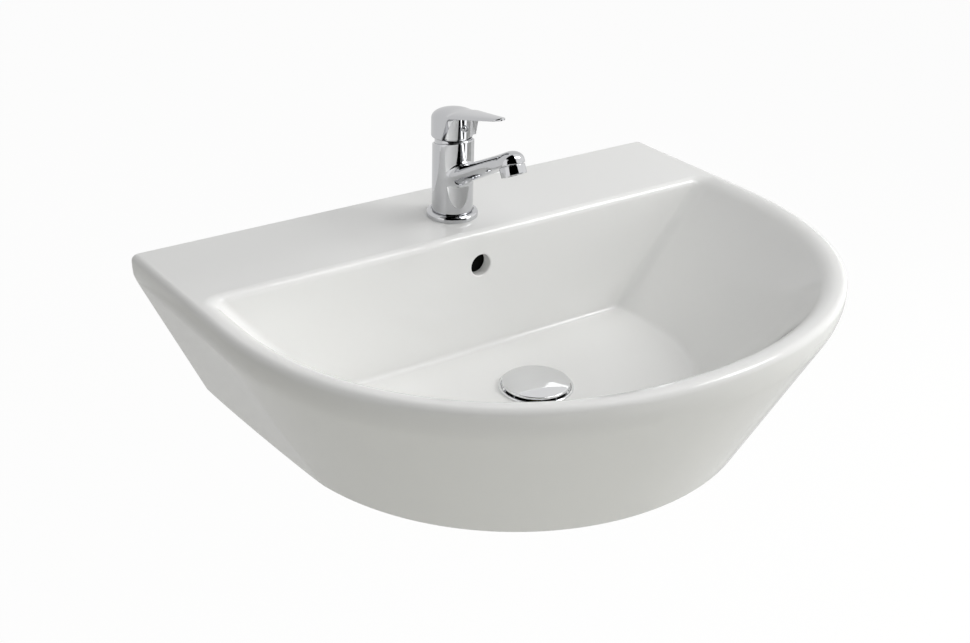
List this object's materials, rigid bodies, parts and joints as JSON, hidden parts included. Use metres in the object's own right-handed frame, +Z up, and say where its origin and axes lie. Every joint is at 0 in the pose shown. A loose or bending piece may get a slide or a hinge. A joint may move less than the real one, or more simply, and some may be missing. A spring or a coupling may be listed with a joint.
{
  "type": "wall-hung basin",
  "caption": "Wall-hung white ceramic washbasin with a rounded front, a lever mixer tap on its deck, an overflow hole and a push-open waste.",
  "frame": {"origin": "on the wall plane, midway between the two fixing holes", "axes": "+X to the right as seen from the front, +Y into the wall, +Z up"},
  "size_m": [0.6, 0.46, 0.3242],
  "materials": {
    "glaze": "glossy white glaze",
    "chrome": "mirror chrome plate",
    "brass": "machined",
    "steel": "zinc plated",
    "rubber": "matt black",
    "guide_plastic": "moulded",
    "cartridge_plastic": "moulded",
    "disc_ceramic": "lapped",
    "index": "plated plastic"
  },
  "bodies": {
    "fixed": {"basin": "glaze", "waste_body": "chrome", "flange_gasket": "rubber", "click_guide": "guide_plastic", "click_spring": "steel", "lower_gasket": "rubber", "backnut": "brass", "base_ring": "chrome", "base_gasket": "rubber", "tap_body": "chrome", "spout": "chrome", "aerator_housing": "chrome", "aerator_insert": "cartridge_plastic", "aerator_washer": "rubber", "cartridge_housing": "cartridge_plastic", "cartridge_nut": "brass", "cartridge_dome": "chrome", "disc_seal": "rubber", "fixed_disc": "disc_ceramic", "fixing_stud": "steel", "horseshoe_gasket": "rubber", "horseshoe_washer": "steel", "fixing_nut": "brass"},
    "carrier": {"spindle_carrier": "guide_plastic", "pivot_pin": "steel"},
    "lever": {"spindle": "brass", "lever_handle": "chrome", "index_plug": "index", "grub_screw": "steel"},
    "disc": {"moving_disc": "disc_ceramic"},
    "plug": {"waste_cap": "chrome", "cap_seal": "rubber", "plug_stem": "brass"}
  },
  "joints": [
    {"name": "lever_swing", "type": "hinge", "parent": "fixed", "child": "carrier", "pos_m": [0, -0.0716, 0.144], "axis": [0, 0, 1], "range_deg": [-45, 45]},
    {"name": "lever_tilt", "type": "hinge", "parent": "carrier", "child": "lever", "pos_m": [0, -0.0716, 0.144], "axis": [-1, 0, 0], "range_deg": [0, 22]},
    {"name": "disc_slide", "type": "slide", "parent": "carrier", "child": "disc", "axis": [0, -1, 0], "range_m": [0, 0.0034]},
    {"name": "plug_press", "type": "slide", "parent": "fixed", "child": "plug", "axis": [0, 0, 1], "range_m": [-0.006, 0], "stiffness_N_per_m": 400, "springref_m": 0.012, "deforming": ["click_spring"]}
  ],
  "couplings": [
    {"joint": "disc_slide", "follows": "lever_tilt", "m_per_rad": 0.008}
  ]
}
